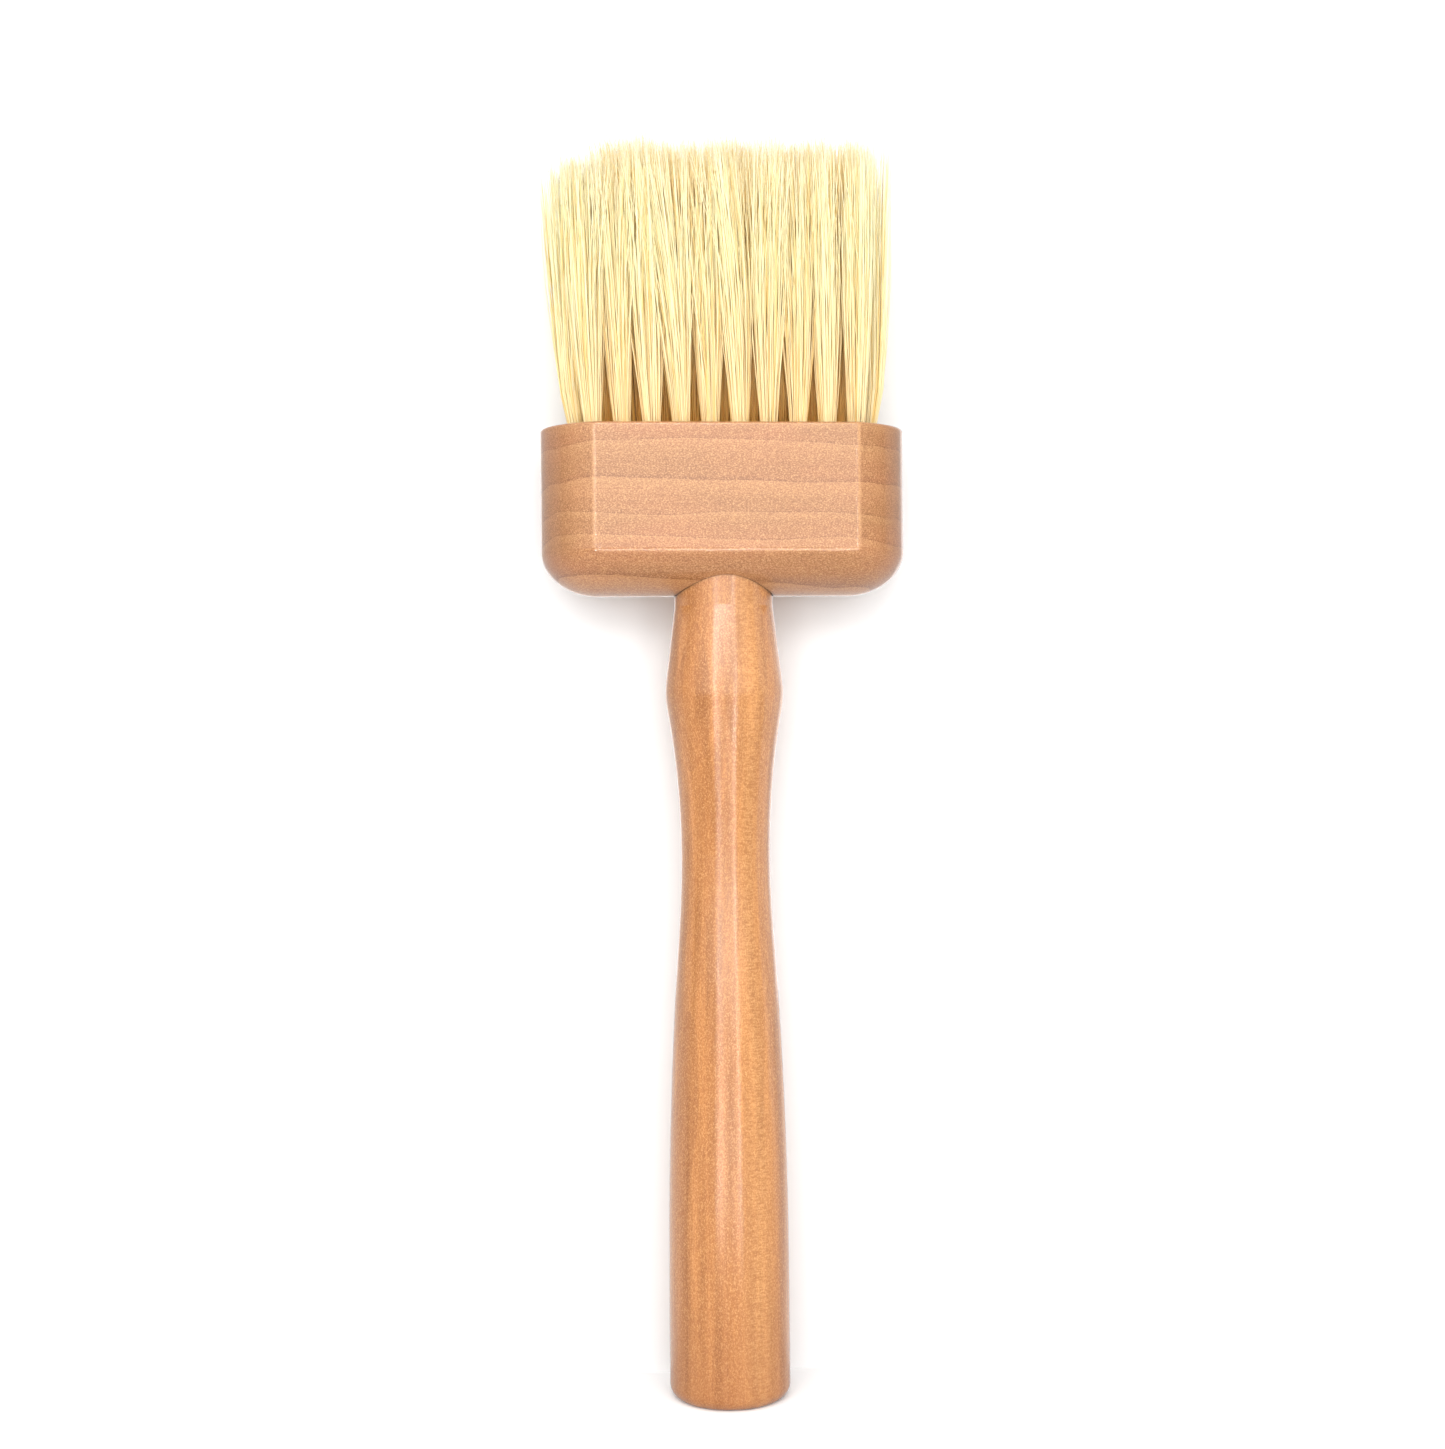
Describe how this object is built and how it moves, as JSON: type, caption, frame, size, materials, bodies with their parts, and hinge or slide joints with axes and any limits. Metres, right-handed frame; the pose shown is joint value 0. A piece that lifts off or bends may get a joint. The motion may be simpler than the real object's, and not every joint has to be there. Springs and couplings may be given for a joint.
{
  "type": "neck duster brush",
  "caption": "Salon neck duster: flat bevelled wooden head set with rows of soft pale bristle tufts, on a waisted turned wooden handle.",
  "frame": {"origin": "centre of the flat butt end of the handle, on the handle's turning axis", "axes": "+Z along the handle towards the bristle tips, +X along the head's width, -Y out of the front panel"},
  "size_m": [0.07, 0.026, 0.24],
  "materials": {
    "head_wood": "clear gloss lacquer, fine pinkish-tan grain across the head",
    "handle_wood": "clear gloss lacquer, fine tan grain along the handle",
    "bristle": "fine undyed cream natural bristle, soft sheen, flagged pale tips",
    "anchor_wire": "flat drawn wire, sheared ends"
  },
  "bodies": {
    "root": {"anchors_row_1": "anchor_wire", "anchors_row_2": "anchor_wire", "anchors_row_3": "anchor_wire", "anchors_row_4": "anchor_wire", "anchors_row_5": "anchor_wire", "handle": "handle_wood", "head_block": "head_wood", "tuft_row_1_01": "bristle", "tuft_row_1_02": "bristle", "tuft_row_1_03": "bristle", "tuft_row_1_04": "bristle", "tuft_row_1_05": "bristle", "tuft_row_1_06": "bristle", "tuft_row_1_07": "bristle", "tuft_row_1_08": "bristle", "tuft_row_1_09": "bristle", "tuft_row_1_10": "bristle", "tuft_row_2_01": "bristle", "tuft_row_2_02": "bristle", "tuft_row_2_03": "bristle", "tuft_row_2_04": "bristle", "tuft_row_2_05": "bristle", "tuft_row_2_06": "bristle", "tuft_row_2_07": "bristle", "tuft_row_2_08": "bristle", "tuft_row_2_09": "bristle", "tuft_row_2_10": "bristle", "tuft_row_2_11": "bristle", "tuft_row_3_01": "bristle", "tuft_row_3_02": "bristle", "tuft_row_3_03": "bristle", "tuft_row_3_04": "bristle", "tuft_row_3_05": "bristle", "tuft_row_3_06": "bristle", "tuft_row_3_07": "bristle", "tuft_row_3_08": "bristle", "tuft_row_3_09": "bristle", "tuft_row_3_10": "bristle", "tuft_row_4_01": "bristle", "tuft_row_4_02": "bristle", "tuft_row_4_03": "bristle", "tuft_row_4_04": "bristle", "tuft_row_4_05": "bristle", "tuft_row_4_06": "bristle", "tuft_row_4_07": "bristle", "tuft_row_4_08": "bristle", "tuft_row_4_09": "bristle", "tuft_row_4_10": "bristle", "tuft_row_4_11": "bristle", "tuft_row_5_01": "bristle", "tuft_row_5_02": "bristle", "tuft_row_5_03": "bristle", "tuft_row_5_04": "bristle", "tuft_row_5_05": "bristle", "tuft_row_5_06": "bristle", "tuft_row_5_07": "bristle", "tuft_row_5_08": "bristle", "tuft_row_5_09": "bristle", "tuft_row_5_10": "bristle"}
  },
  "joints": []
}
